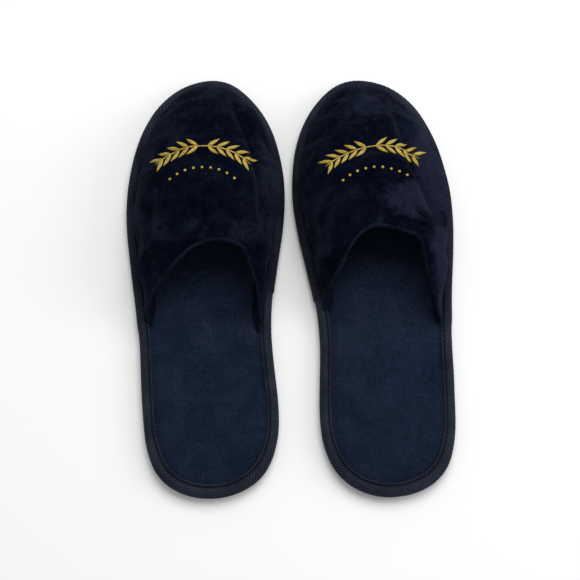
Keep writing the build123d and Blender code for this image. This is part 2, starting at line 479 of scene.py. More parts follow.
def thread(name, dark, light, roughness, sheen, tint, specular=0.4):
    mat, tree, bsdf = shader(name, roughness, sheen, 0.3, tint, specular)
    twist = noise(tree, 1400, 3, 0.6, 0.4)
    tree.links.new(ramp(tree, twist, (0.3, dark), (0.7, light)), bsdf.inputs["Base Color"])
    bump(tree, bsdf, noise(tree, 3500, 2, 0.6), 0.0001, 0.7)
    return mat


def gold_satin():
    mat, tree, bsdf = shader("gold_thread", 0.42, 0.25, 0.3, (1.0, 0.9, 0.55), 0.6)
    strand = noise(tree, 900, 3, 0.6)
    colour = ramp(tree, strand, (0.28, (0.20, 0.125, 0.006)), (0.52, (0.44, 0.31, 0.026)),
                  (0.76, (0.74, 0.58, 0.12)))
    tree.links.new(colour, bsdf.inputs["Base Color"])
    bump(tree, bsdf, noise(tree, 4000, 2, 0.6), 0.00008, 0.6)
    return mat


def moulded_foam():
    mat, tree, bsdf = shader("eva_foam_sole", 0.72, specular=0.35)
    scuffs = noise(tree, 55, 5, 0.65, 0.6)
    cells = tree.nodes.new("ShaderNodeTexVoronoi")
    cells.inputs["Scale"].default_value = 1100
    tree.links.new(coordinates(tree), cells.inputs["Vector"])
    colour = ramp(tree, scuffs, (0.35, (0.0095, 0.0100, 0.0125)), (0.70, (0.0230, 0.0240, 0.0290)))
    tree.links.new(colour, bsdf.inputs["Base Color"])
    bump(tree, bsdf, cells.outputs["Distance"], 0.00012, 0.6)
    return mat


def plain_layer(name, dark, light, scale, grain, roughness=0.9):
    """Board, foam and non-woven: hidden layers, mottled at their own grain."""
    mat, tree, bsdf = shader(name, roughness, specular=0.2)
    colour = ramp(tree, noise(tree, scale, 4, 0.6), (0.3, dark), (0.7, light))
    tree.links.new(colour, bsdf.inputs["Base Color"])
    bump(tree, bsdf, noise(tree, grain, 2, 0.6), 0.0002, 0.7)
    return mat


# The upper's velour has a last, lighter colour, laid on as painted sheen where the shell's stored values say.
UPPER_VELOUR = velour("upper_velour", (0.0010, 0.0014, 0.0052), (0.0023, 0.0034, 0.0088),
                      (0.0066, 0.0100, 0.0205), 30, 0.035, (0.60, 0.72, 1.0), (0.0125, 0.0152, 0.0298))
INSOLE_VELOUR = velour("insole_velour", (0.0068, 0.0118, 0.0245), (0.0100, 0.0162, 0.0325),
                       (0.0132, 0.0200, 0.0385), 34, 0.02, (0.60, 0.74, 1.0))
LINING = velour("lining_fabric", (0.0016, 0.0026, 0.0072), (0.0034, 0.0052, 0.0120),
                (0.0065, 0.0098, 0.0200), 45, 0.02, (0.60, 0.72, 1.0))
# The throat's velour is a lighter copy of the upper's, as painted highlight along the turned edge.
TRIM_VELOUR_PAINTED_HIGHLIGHT = velour("throat_velour_painted_highlight", (0.0030, 0.0048, 0.0115), (0.0056, 0.0086, 0.0180),
                     (0.0095, 0.0140, 0.0275), 60, 0.05, (0.62, 0.75, 1.0))
TAPE = woven_tape()
NAVY_THREAD = thread("sewing_thread", (0.0052, 0.0066, 0.0118), (0.0125, 0.0155, 0.0255), 0.8, 0.0,
                     (0.8, 0.85, 1.0), 0.08)
GOLD = gold_satin()
EVA = moulded_foam()
BOARD = plain_layer("greyboard", (0.26, 0.24, 0.20), (0.40, 0.37, 0.31), 900, 1800)
FOAM = plain_layer("cushion_foam", (0.70, 0.67, 0.58), (0.86, 0.84, 0.77), 700, 1400)
NONWOVEN = plain_layer("nonwoven_backing", (0.66, 0.65, 0.62), (0.82, 0.81, 0.79), 800, 1600)


# ---- edge binding ----

# Section of the tape: (distance in from the edge, height), from the inner lip over the top to the underside.
TAPE_OUTSIDE = [
    (8.7, 9.85), (8.55, 10.5), (8.0, 10.95), (7.5, 10.8), (7.05, 10.3), (6.6, 10.1), (6.1, 10.4), (5.2, 10.9),
    (3.6, 10.95), (2.0, 10.3), (0.8, 9.0), (0.1, 7.2), (0.0, 5.4), (0.35, 3.4), (1.4, 1.5), (3.0, 0.5),
    (5.2, 0.36), (6.2, 0.62), (6.7, 0.75), (7.2, 0.62), (8.0, 0.36), (9.0, 0.38),
]
TAPE_INSIDE = [
    (8.9, 1.2), (6.0, 1.45), (3.4, 1.7), (1.7, 3.2), (1.15, 5.4), (1.6, 7.6), (3.4, 9.3), (5.8, 9.45),
]
TAPE_SAMPLES = 74
# The point of TAPE_OUTSIDE at the bottom of the stitched groove.
GROOVE_POINT = 5
RIB_PITCH = 1.95
RIB_ANGLE = radians(37)
RIB_HEIGHT = 0.36
STITCH_IN = 6.65
STITCH_PITCH = 3.3
GROOVE_DEPTH = 0.32
# Round the forefoot the tape stands out and up, over the upper's margin. At its join the cut end lies on top.
PROUD_OUT, PROUD_UP = 0.65, 0.35
LAP_UP, LAP_LENGTH = 0.45, 9
JOIN_Y = {"left": -6.0, "right": -9.0}


def tape_width(y):
    """How wide the tape lies on top, as a share of its width at the heel and toe."""
    return 1 - 0.2 * smoothstep(y, -132, -98) * (1 - smoothstep(y, 60, 110))


def narrowed(inset, y):
    return np.where(inset > 2, 2 + (inset - 2) * tape_width(y), inset)


def tape_grid(side):
    """Grid of the tape's surface, its painted shade, from 0 to 1: how high each point lies on its rib,
    darkened along the stitched groove and round the forefoot, and its place in the weave, counted in ribs and
    in mm along the rib."""
    outside = smooth_curve(TAPE_OUTSIDE, TAPE_SAMPLES)
    inside = smooth_curve(TAPE_INSIDE, 14)
    section = np.vstack([outside, inside])
    across = run_along(outside)
    apex = across[np.argmin(outside[:, 0])]
    slope = unit(np.gradient(outside, axis=0))
    out_n = np.column_stack([slope[:, 1], -slope[:, 0]])
    out_n *= np.sign(out_n[TAPE_SAMPLES // 4, 1])
    along = np.arange(len(RIM)) * RIM_LENGTH / len(RIM)
    way = 1 if side == "right" else -1
    u, v = np.meshgrid(along, across, indexing="ij")
    wander = 0.35 * waves(u, v * 2, 26, 10 + OWN_SEED[side])
    # the ribs' pitch is stretched a little, so that a whole number of them goes round the sole
    ribs = RIM_LENGTH * sin(RIB_ANGLE) / RIB_PITCH
    stretch = round(ribs) / ribs
    phase = (u * way * stretch * sin(RIB_ANGLE) + np.abs(v - apex) * cos(RIB_ANGLE) + wander) / RIB_PITCH
    rib = np.abs(np.sin(pi * phase)) ** 0.7
    groove = across[GROOVE_POINT * TAPE_SAMPLES // len(TAPE_OUTSIDE)]
    fade = smoothstep(v, 0, 1.0) * (1 - 0.55 * bell(v - groove, 0.5))
    stitch = bell(outside[:, 0] - STITCH_IN, 0.8) * (outside[:, 1] > 5)
    holes = 0.5 + 0.5 * np.cos(2 * pi * u / STITCH_PITCH)
    lift = RIB_HEIGHT * (rib - 0.5) * fade - GROOVE_DEPTH * stitch[None, :] * (0.4 + 0.6 * holes)
    # a little unevenness in how tightly the tape was pulled round the edge
    lift += 0.09 * waves(u, v, 34, 20 + OWN_SEED[side]) * smoothstep(v, 2, 8)
    grid = np.zeros((len(RIM), len(section), 3))
    on_top = smoothstep(section[:, 1], 7, 9)[None, :]
    across_top = narrowed(section[None, :, 0], RIM[:, 1:])
    inset = across_top * on_top + section[None, :, 0] * (1 - on_top)
    height = np.tile(section[:, 1], (len(RIM), 1))
    inset[:, :TAPE_SAMPLES] -= lift * -out_n[None, :, 0]
    height[:, :TAPE_SAMPLES] += lift * out_n[None, :, 1]
    # the tape stands prouder round the forefoot, where the upper's margin is under it, down to its join
    rim_y, arch_side, join_y = RIM[:, 1], RIM[:, 0] < 0, JOIN_Y[side]
    proud = np.where(arch_side, smoothstep(rim_y, join_y - 2.5, join_y + 0.5), smoothstep(rim_y, -38, -28))
    shift = -PROUD_OUT * proud + 0.15 * np.where(arch_side, 1 - proud, 0)
    wall = smoothstep(6.5 - section[:, 0], 0, 5)
    inset += shift[:, None] * wall[None, :]
    height += PROUD_UP * proud[:, None] * (section[:, 1] > 8)[None, :]
    # the tape's cut end, lapped over its start
    lap = smoothstep(rim_y, join_y - 0.6, join_y) * (1 - smoothstep(rim_y, join_y, join_y + LAP_LENGTH))
    height += (LAP_UP * lap * arch_side)[:, None] * (section[:, 1] > 8)[None, :]
    grid[..., :2] = RIM[:, None, :] + INWARDS[:, None, :] * inset[..., None]
    grid[..., 2] = np.maximum(height, 0.12)
    # painted shade: darker in the ribs' grooves and along the stitched groove
    shade = np.ones(grid.shape[:2])
    shade[:, :TAPE_SAMPLES] = rib * (1 - 0.66 * stitch[None, :])
    # painted shade round the forefoot, where the upper's swell shades the tape
    shade *= (1 - 0.34 * proud * (1 - smoothstep(rim_y, 85, 135)))[:, None]
    uv = np.zeros((*grid.shape[:2], 2))
    uv[:, :TAPE_SAMPLES, 0] = phase
    uv[:, :TAPE_SAMPLES, 1] = u * way * cos(RIB_ANGLE) - np.abs(v - apex) * sin(RIB_ANGLE)
    return grid, shade, uv


def build_binding(side):
    grid, shade, uv = tape_grid(side)
    obj = make_piece("edge_binding", side, ring_solid(grid), TAPE, ["edge_binding"],
                     uv=uv.reshape(-1, 2))
    # the painted shade, stored as the mesh's rib values
    write_values(obj, "rib", shade)


def bead(start, end, radius, flatness=1.0, sides=8, rings=7):
    """A stitch: a thread's short visible length between two points, round-ended."""
    axis = end - start
    length = np.linalg.norm(axis)
    axis = axis / length
    side_way = np.cross(axis, [0, 0, 1.0])
    side_way /= np.linalg.norm(side_way)
    up = np.cross(side_way, axis)
    rows = []
    for i in range(rings):
        t = i / (rings - 1)
        r = radius * max(sin(pi * (0.04 + 0.92 * t)), 0.05) ** 0.5
        centre = start + axis * length * t
        rows.append([centre + side_way * r * cos(a) + up * r * flatness * sin(a)
                     for a in np.arange(sides) * 2 * pi / sides])
    return capped_tube(np.array(rows))


NEEDLE_THREAD_Z = 10.12
BOBBIN_THREAD_Z = 0.42
THREAD_RADIUS = 0.33


def build_seams(side):
    count = int(RIM_LENGTH / STITCH_PITCH)
    draw = np.random.default_rng(30 + OWN_SEED[side])
    for name, z, where in (("seam_needle_thread", NEEDLE_THREAD_Z, 0.0),
                           ("seam_bobbin_thread", BOBBIN_THREAD_Z, 0.5)):
        inset = np.full(len(RIM), STITCH_IN)
        if z > OUTSOLE_TOP:
            inset = narrowed(inset, RIM[:, 1])
        rim = RIM + INWARDS * inset[:, None]
        closed = np.vstack([rim, rim[:1]])
        stitches = []
        for i in range(count):
            ends = []
            for share in (0.12, 0.88):
                at = ((i + where + share) / count * len(rim)) % len(rim)
                k = int(at)
                p = closed[k] * (1 - at + k) + closed[k + 1] * (at - k)
                ends.append(np.array([*(p + draw.normal(0, 0.07, 2)), z + draw.normal(0, 0.03)]))
            stitches.append(bead(*ends, THREAD_RADIUS, 0.8))
        make_piece(name, side, join(*stitches), NAVY_THREAD, [name])


# ---- sole ----


def span_grid(inset, rows, columns):
    """Plan grid over the sole moved in by inset: rows from heel to toe, columns from arch to outer side."""
    low_y, high_y = tips(inset)
    middle, half = (low_y + high_y) / 2, (high_y - low_y) / 2 - 0.02
    evenly = np.linspace(-1, 1, rows)
    y = middle + half * (0.65 * evenly - 0.35 * np.cos(np.linspace(0, pi, rows)))
    low, high = spans(inset, y)
    t = np.linspace(0, 1, columns)[None, :]
    x = low[:, None] + (high - low)[:, None] * t
    return np.stack([x, np.broadcast_to(y[:, None], x.shape)], axis=-1)


def edge_distance(plan, inset):
    """Roughly how far each point of a span grid lies inside the outline moved in by inset."""
    rim = inset_rim(inset)[::4]
    best = np.full(plan.shape[:2], 1e9)
    for p in rim:
        best = np.minimum(best, np.hypot(plan[..., 0] - p[0], plan[..., 1] - p[1]))
    return best


INSOLE_IN = 6.0


def build_insole(side):
    plan = span_grid(INSOLE_IN, 350, 136)
    x, y = plan[..., 0], plan[..., 1]
    inside = edge_distance(plan, INSOLE_IN)
    seed = 40 + OWN_SEED[side]
    z = INSOLE_TOP - 0.60 + 1.15 * smoothstep(inside, 1.3, 7) + 0.45 * smoothstep(inside, 6, 36)
    z += 0.16 * waves(x, y, 38, seed) + 0.07 * waves(x, y, 11, seed + 10) + 0.05 * waves(x, y, 4.5, seed + 20)
    # a hollow where the heel stands
    z -= 0.35 * np.exp(-((x + 3) ** 2 + (y + 92) ** 2) / 26**2)
    # the cover's faint creases, each a furrow with a low ridge beside it
    for line, depth in INSOLE_CREASES[side]:
        away, share = distance_to(smooth_curve(line, 20), x, y)
        ends = smoothstep(share, 0, 0.25) * (1 - smoothstep(share, 0.75, 1))
        z -= 2.2 * depth * bell(away, 1.3) * ends
        z += 1.2 * depth * bell(away - 2.8, 1.8) * ends
    top = np.dstack([x, y, z])
    obj = make_piece("insole_cover", side, plate(top, INSOLE_BOTTOM), INSOLE_VELOUR,
                     ["insole_cover"])


INSOLE_CREASES = {
    "left": [([(12, -4), (4, 3), (-6, 7), (-14, 8)], 0.35), ([(14, -62), (13, -70), (12, -80)], 0.22),
             ([(9, -122), (0, -127), (-9, -125)], 0.22)],
    "right": [([(-18, 20), (-6, 24), (8, 22)], 0.2), ([(-14, -124), (0, -129), (12, -124)], 0.2)],
}


TREAD_IN = 9.25
TREAD_PITCH = 5.2
TREAD_DEPTH = 0.45
PAD_RADIUS = 1.45
SOLE_BODY_IN = 1.3
# The tread's plate reaches a little way into the sole's body, so that they read as one piece of foam.
TREAD_TOP, SOLE_BODY_BOTTOM = 1.7, 1.5


def build_outsole(side):
    """Foam sole whose tread is rows of small round pads, inside a plain rim."""
    plan = span_grid(TREAD_IN, 420, 140)
    x, y = plan[..., 0], plan[..., 1]
    inside = edge_distance(plan, TREAD_IN)
    # each row is offset by half a pad, so that the pads are about evenly apart
    row_pitch = TREAD_PITCH * 0.866
    rows = np.round(y / row_pitch)
    cx = (np.round(x / TREAD_PITCH - 0.5 * (rows % 2)) + 0.5 * (rows % 2)) * TREAD_PITCH
    pads = np.hypot(x - cx, y - rows * row_pitch)
    recess = TREAD_DEPTH * smoothstep(pads, PAD_RADIUS, PAD_RADIUS + 0.5) * smoothstep(inside, 3.0, 3.8)
    tread = plate(np.dstack([x, y, recess]), TREAD_TOP)
    body_plan = span_grid(SOLE_BODY_IN, 90, 24)
    body_top = np.dstack([body_plan, np.full(body_plan.shape[:2], OUTSOLE_TOP - 0.02)])
    body = plate(body_top, SOLE_BODY_BOTTOM)
    make_piece("outsole", side, join(tread, body), EVA, ["outsole"])


# ---- upper ----

# The throat's edge in plan, from the outer wing's tip to the arch-side wing's tip.
THROAT = {
    "left": [
        (34.9, -38), (33.9, -30), (32.6, -21), (30.4, -12), (24.6, -3), (14.0, 6.5), (4, 13.2), (-8, 16.5),
        (-18, 17), (-25.6, 15), (-29.4, 9), (-30.6, 0), (-31.2, -10), (-32.0, -20), (-33.4, -29),
        (-35.6, -36),
    ],
    "right": [
        (35.6, -38), (33.6, -34), (30.6, -27), (28.4, -17), (27.3, -7), (27.4, 3), (27.2, 10), (25.8, 15.6),
        (22.5, 18.6), (13, 21.8), (2, 25.4), (-6, 25.6), (-15.5, 20.3), (-25.2, 9), (-31.0, -1), (-34.0, -11),
        (-35.9, -22), (-36.3, -30),
    ],
}
# How far the padded upper swells over the binding, in mm: (arch side, outer side), and round the toe.
SWELL = {"left": (5.2, 3.6), "right": (4.6, 4.6)}
TOE_SWELL = 3.0
# A soft fold from the toe to the throat's corner, image-right on both slippers: plan points, from the toe.
FOLD = {
    "left": [(-15, 127), (-22, 104), (-30, 84), (-34.5, 62), (-36, 44), (-37, 28)],
    "right": [(15, 113), (21, 92), (24.5, 70), (28.5, 53), (33, 40), (37, 27)],
}
FOLD_DEPTH = {"left": 3.3, "right": 3.7}
FOLD_WIDTH = 3.1
# The ridges that the fold pushes up beside it: height, distance from the fold, width.
FOLD_RIDGES = [(1.5, 8.0, 5.0), (0.9, -7.5, 5.5)]
# Gap between the upper's rim and the outline at the toe's tip, where the upper's width runs out.
TIP_GAP = 0.15
# How far behind the slipper's middle the wings end, and how far behind the toe's tip the throat can start.
WINGS_END = 40.0
THROAT_FROM = 60.0


def arch_section(arch, y):
    """Where a point at that angle of the upper's arch lies: its share of the half width, its share of the
    height, and how much of the height is left. Behind the throat's front the sides are no longer held up,
    so they sink and lean inwards."""
    lean = smoothstep(-y, -16, 34)
    power = ARCH_POWER - 0.95 * lean
    across = np.abs(np.cos(arch)) ** (2 / power) * np.sign(np.cos(arch))
    return across, np.abs(np.sin(arch)) ** (2 / power), 1 - 0.30 * lean


def arch_angles(rows):
    """Angles over the upper's arch, closer together where the section turns."""
    evenly = np.linspace(0, pi, rows)
    return evenly - 0.12 * np.sin(4 * evenly)


def upper_grid(depth, rows, columns, ends):
    """Grid of the upper's surface at that depth below its outside: rows from the outer side over the top to
    the arch side, columns from the toe to the throat, which ends says how far back. Also each point's share
    of the arch's height."""
    inset = UPPER_IN + depth
    tip = tips(inset)[1] - TIP_GAP
    rise, run = TOE_RISE - depth, TOE_RUN - depth
    arch = arch_angles(rows)
    t = np.linspace(0, 1, columns)
    s = (1 - np.cos(t * pi / 2)) * 0.55 + t**1.3 * 0.45
    back = ends[:, None] * s[None, :] * (tip + WINGS_END) / (tips(UPPER_IN)[1] - TIP_GAP + WINGS_END)
    y = tip - back
    low, high = spans(inset, y)
    middle, half = (low + high) / 2, np.maximum((high - low) / 2, 0.05)
    height = rise * np.sqrt(np.maximum(1 - (1 - np.minimum(back / run, 1)) ** 2, 0))
    height = height + INSTEP_RISE * np.maximum(back - INSTEP_START, 0)
    across, share, sunk = arch_section(arch[:, None], y)
    x = middle + half * across
    z = INSOLE_TOP - 0.1 + height * sunk * share
    return np.dstack([x, y, z]), share


def throat_reach(side, rows):
    """How far back from the toe each row of the upper runs before it meets the throat's edge."""
    edge = smooth_curve(THROAT[side], 300)
    order = np.argsort(edge[:, 0])
    edge_x, edge_y = edge[order, 0], edge[order, 1]
    tip = tips(UPPER_IN)[1] - TIP_GAP
    back = np.linspace(THROAT_FROM, tip + WINGS_END - 1, 900)
    y = tip - back
    low, high = spans(UPPER_IN, y)
    reach = []
    for a in arch_angles(rows):
        x = (low + high) / 2 + (high - low) / 2 * arch_section(a, y)[0]
        passed = y < np.interp(x, edge_x, edge_y)
        reach.append(back[np.argmax(passed)] if passed.any() else back[-1])
    return blur(np.array(reach), rows / 120)


def blur_both(grid):
    return blur(blur(grid, 2.0).transpose(1, 0, 2), 2.0).transpose(1, 0, 2)


def normals(grid):
    du, dv = np.gradient(grid, axis=0), np.gradient(grid, axis=1)
    n = np.cross(du, dv)
    n /= np.maximum(np.linalg.norm(n, axis=-1), 1e-9)[..., None]
    if n[n.shape[0] // 2, n.shape[1] // 2, 2] < 0:
        n = -n
    return n


def shape_upper(grid, share, side):
    """How far each point of the plain form moves to make a soft padded upper: swollen sides, a fold,
    gathers and rumples."""
    g = grid.copy()
    x, y, z = grid[..., 0], grid[..., 1], grid[..., 2]
    seed = 50 + OWN_SEED[side]
    arch_swell, outer_swell = SWELL[side]
    n = normals(blur_both(grid))
    above = z - INSOLE_TOP
    # the sides swell, less so at the wings' ends, and the form reaches out to meet the tape
    at_toe = smoothstep(y, 60, 118)
    flank = np.where(x > 0, outer_swell, arch_swell) * (1 - at_toe) + TOE_SWELL * at_toe
    flank = flank * (0.65 + 0.35 * smoothstep(y, -36, -18))
    profile = smoothstep(above, 0.8, 6.0) * (1 - 0.75 * smoothstep(above, 14, 36))
    meets_tape = (1.25 + 1.1 * (1 - smoothstep(y, 60, 110))) * (1 - smoothstep(above, 18, 36))
    g[..., :2] += n[..., :2] * (meets_tape + flank * profile)[..., None]
    off_seam = smoothstep(share, 0.04, 0.45) * smoothstep(136 - y, 1, 14)
    # broad, middling and fine unevenness
    lift = 0.9 * waves(x, y, 46, seed) + 0.40 * waves(x, y, 19, seed + 1) + 0.14 * waves(x, y, 8, seed + 2)
    fold = smooth_curve(FOLD[side], 40)
    away, along_fold = distance_to(fold, x, y)
    away = away if side == "left" else -away
    ends = smoothstep(along_fold, 0, 0.18) * (1 - 0.6 * smoothstep(along_fold, 0.85, 1))
    lift = lift - FOLD_DEPTH[side] * bell(away, FOLD_WIDTH) * ends
    for height, place, width in FOLD_RIDGES:
        lift = lift + height * bell(away - place, width) * ends
    for line, depth, width in RUMPLES[side]:
        d, s = distance_to(smooth_curve(line, 16), x, y)
        lift = lift - depth * bell(d, width) * np.sin(pi * np.clip(s, 0.02, 0.98)) ** 0.6
    # gathers where the shell is eased into the seam round the toe
    around = np.arctan2(y - 60, x)
    gathers = np.sin(around * 46 + 2.0 * waves(x, y, 40, seed + 3, 4)) * bell(share, 0.22)
    lift = lift + 0.35 * gathers * smoothstep(y, 30, 80) * smoothstep(share, 0.0, 0.08)
    g += n * (lift * off_seam)[..., None]
    return g - grid


# Shorter rumples: plan points, depth and width.
RUMPLES = {
    "left": [([(33, 62), (34, 40), (33, 20)], 1.6, 4.0), ([(30, 12), (33, -2), (35, -16)], 1.2, 3.2),
             ([(-22, 34), (-8, 38), (8, 34)], 0.8, 6.0), ([(26, 118), (10, 126), (-6, 127)], 0.7, 5.0)],
    "right": [([(22, 36), (28, 31), (35, 29)], 3.2, 2.4), ([(21, 25), (27, 24), (33, 23)], 2.7, 2.0),
              ([(-30, 60), (-33, 40), (-33, 22)], 1.5, 4.0), ([(-29, 10), (-33, -4), (-35, -16)], 1.1, 3.0),
              ([(-26, 116), (-8, 126), (8, 124)], 0.7, 5.0)],
}


# Zones of painted sheen, where the pile is coloured lighter as if it caught the light: middle in plan, size
# along X and Y, and how much.
PAINTED_SHEEN_ZONES = {
    "left": [(-3, 111, 24, 16, 0.16), (-26, 27, 12, 9, 0.30), (32, 30, 6, 26, 0.24),
             (-41, 66, 8, 38, 0.36)],
    "right": [(0, 112, 24, 15, 0.30), (35, 74, 11, 44, 0.65), (19, 41, 15, 13, 0.62),
              (-34, 24, 5, 20, 0.26), (38, -6, 9, 32, 0.75)],
}
# How deep a crease is that gets the darkest painted shade, and the fold's depth and width for the painted
# shade along it.
DARKEST_DEPTH = 3.2
FOLD_PAINTED_SHADE = (2.2, 2.4)


def paint_sheen_and_shade(obj, surface, side):
    """Writes the shell's painted sheen, 0 where there is none and towards 1 where the pile is coloured
    lighter as if it caught the light, and its painted shade, towards 1 along the bottom of the fold and the
    rumples."""
    x, y = surface[..., 0], surface[..., 1]
    painted_sheen = sum(much * np.exp(-(((x - px) / wide) ** 2 + ((y - py) / long) ** 2) ** 2)
              for px, py, wide, long, much in PAINTED_SHEEN_ZONES[side])
    painted_sheen = painted_sheen + 0.10 * waves(x, y, 22, 70 + OWN_SEED[side])
    # painted shade, darkest along the bottom of the fold and the rumples
    painted_crease_shade = np.zeros(x.shape)
    for line, depth, width in [(FOLD[side], *FOLD_PAINTED_SHADE), *RUMPLES[side]]:
        away, share = distance_to(smooth_curve(line, 24), x, y)
        ends = np.sin(pi * np.clip(share, 0.02, 0.98)) ** 0.5
        painted_crease_shade += depth / DARKEST_DEPTH * bell(away, 0.55 * width) * ends
    for name, values in (("painted_sheen", painted_sheen), ("painted_crease_shade", painted_crease_shade)):
        write_values(obj, name, np.tile(np.clip(values, 0, 1).ravel(), 2))


# Cloth simulation: every how many grid points, frames, pressure, spare cloth, and the most a point may move.
CLOTH_STEP = 4
CLOTH_FRAMES = 20
CLOTH_PRESSURE = 4.0
CLOTH_SLACK = 0.035
CLOTH_CAP = 4.0


def puffed(grid):
    """How far each point of the upper moves, in mm, when it is sewn down round the sole, cut a little loose
    and pushed out by its padding: a cloth simulation on a coarser copy of the grid."""
    rows, columns = grid.shape[:2]
    r = np.unique(np.append(np.arange(0, rows, CLOTH_STEP), rows - 1))
    c = np.unique(np.append(np.arange(0, columns, CLOTH_STEP), columns - 1))
    start = grid[np.ix_(r, c)] * MM
    mesh = bpy.data.meshes.new("cloth")
    mesh.from_pydata(start.reshape(-1, 3).tolist(), [], grid_faces(len(r), len(c)))
    mesh.update()
    if mesh.polygons[len(mesh.polygons) // 2].normal.z < 0:
        mesh.flip_normals()
    obj = add_object("cloth", mesh)
    # sewn down at the sole and the toe, and held more loosely along the throat
    held = np.zeros((len(r), len(c)))
    held[[0, 1, -2, -1]] = held[:, :2] = 1.0
    held[:, -1] = np.maximum(held[:, -1], 0.75)
    sewn = obj.vertex_groups.new(name="sewn")
    for i, weight in enumerate(held.ravel()):
        sewn.add([i], weight, "REPLACE")
    cloth = obj.modifiers.new("Cloth", "CLOTH")
    cloth.settings.use_pressure = True
    cloth.settings.uniform_pressure_force = CLOTH_PRESSURE
    cloth.settings.effector_weights.gravity = 0
    cloth.settings.vertex_group_mass = "sewn"
    cloth.settings.shrink_min = -CLOTH_SLACK
    cloth.settings.bending_stiffness = 2.0
    cloth.collision_settings.use_collision = False
    cloth.point_cache.frame_start, cloth.point_cache.frame_end = 1, CLOTH_FRAMES
    for frame_number in range(1, CLOTH_FRAMES + 1):
        bpy.context.scene.frame_set(frame_number)
    solved = obj.evaluated_get(bpy.context.evaluated_depsgraph_get()).to_mesh()
    moved = (read_back(solved.vertices, "co", 3).reshape(start.shape) - start) / MM
    bpy.data.objects.remove(obj)
    bpy.data.meshes.remove(mesh)
    bpy.context.scene.frame_set(1)
    far = np.linalg.norm(moved, axis=-1, keepdims=True)
    moved *= np.tanh(far / CLOTH_CAP) * CLOTH_CAP / np.maximum(far, 1e-6)
    finer = np.array([[np.interp(np.arange(columns), c, line) for line in moved[..., i]] for i in range(3)])
    full = np.array([[np.interp(np.arange(rows), r, line) for line in part.T] for part in finer])
    return full.transpose(2, 1, 0)


UPPER_GRID = (300, 210)
PRESSED_SHARE = 0.62
PRESSED_REACH = 11


def build_upper(side):
    ends = throat_reach(side, UPPER_GRID[0])
    outside, share = upper_grid(0, *UPPER_GRID, ends)
    moved = shape_upper(outside, share, side)
    pushed = puffed(outside + moved)
    moved = moved + blur_both(pushed)
    layers = {0: outside + moved}
    # the layers are pressed together where they are sewn and turned at the throat
    to_edge = np.linalg.norm(outside - outside[:, -1:], axis=-1)
    pressed = (1 - PRESSED_SHARE * (1 - smoothstep(to_edge, 0, PRESSED_REACH)))[..., None]
    for depth in (SHELL_T, PADDING_END, UPPER_T):
        plain, _ = upper_grid(depth, *UPPER_GRID, ends)
        layers[depth] = outside + (plain - outside) * pressed + moved
    shell = make_piece("upper_shell", side, slab(layers[0], layers[SHELL_T]), UPPER_VELOUR,
                       ["upper_shell"])
    paint_sheen_and_shade(shell, outside, side)
    # the padding stops short of the seams and of the wings' tips, where the layers meet
    coarse = (slice(6, -6, 3), slice(None, -5, 3))
    inner = between(layers[PADDING_END], layers[UPPER_T], 0.02)
    outer = between(layers[SHELL_T], layers[PADDING_END], 0.05)
    padding = make_piece("upper_padding", side, slab(outer[coarse], inner[coarse]), FOAM,
                         ["upper_padding"])
    lining = slab(layers[PADDING_END][::2, ::2], layers[UPPER_T][::2, ::2])
    make_piece("upper_lining", side, lining, LINING, ["upper_lining"])
    build_trim(side, layers)
    build_embroidery(side, shell, layers)


TRIM_SIDES = 20
TRIM_LENGTHS = 420
TRIM_TAPER = 9


def build_trim(side, layers):
    """The turned edge: a soft roll over the ends of the upper's layers, all along the throat."""
    outer, inner = layers[0][:, -1], layers[UPPER_T][:, -1]
    before = layers[0][:, -4]
    centre = blur((outer + inner) / 2, 2)
    across = blur((outer - inner) / 2, 2)
    out = unit(blur(outer - before, 2))
    away = np.linspace(0, 2 * pi, TRIM_SIDES, endpoint=False)
    seed = 60 + OWN_SEED[side]
    along = run_along(centre)
    even = np.linspace(0, along[-1], TRIM_LENGTHS)
    centre, across, out = (resampled(line, along, even) for line in (centre, across, out))
    plump = 1 + 0.10 * waves(even, even * 0, 22, seed) + 0.05 * waves(even, even * 0, 6, seed + 1)
    taper = np.clip(np.minimum(even, even[-1] - even) / TRIM_TAPER, 0.22, 1)
    c, s = np.cos(away)[None, :, None], np.sin(away)[None, :, None]
    grid = (centre[:, None] + across[:, None] * (1.06 * np.sign(c) * np.abs(c) ** 0.8)
            + out[:, None] * (s * 0.95 * (plump * taper)[:, None, None]))
    make_piece("throat_trim", side, capped_tube(grid), TRIM_VELOUR_PAINTED_HIGHLIGHT, ["throat_trim"])


# ---- embroidery ----

GARLAND_AT = (0.0, 30.0)
STEM_RADIUS = 52.0
STEM_SWEEP = 37.0
STEM_WIDTH = 0.9
LEAF_ANGLES = (3.0, 9.8, 16.6, 23.4, 30.2)
LEAF_SPLAY = 36.0
LEAF_LENGTH = 10.0
LEAF_WIDTH = 2.4
BERRY_RADIUS = 0.9
BERRY_ARC_RADIUS = 36.0
BERRY_ANGLES = (-36, -27, -18, -9, 0, 9, 18, 27, 36)
THREAD_PITCH = 0.42
SATIN_STEP = 0.14
STITCHED_IN = 0.25
# Height from which the garland's points drop on to the shell.
DROP_FROM = 90.0
# The backing's oval: its middle along Y, and half its width and length. Its top and underside lie at these
# shares of the way through the padding.
BACKING_Y, BACKING_HALF = 72, (31, 25)
BACKING_SHARES = (0.005, 0.045)


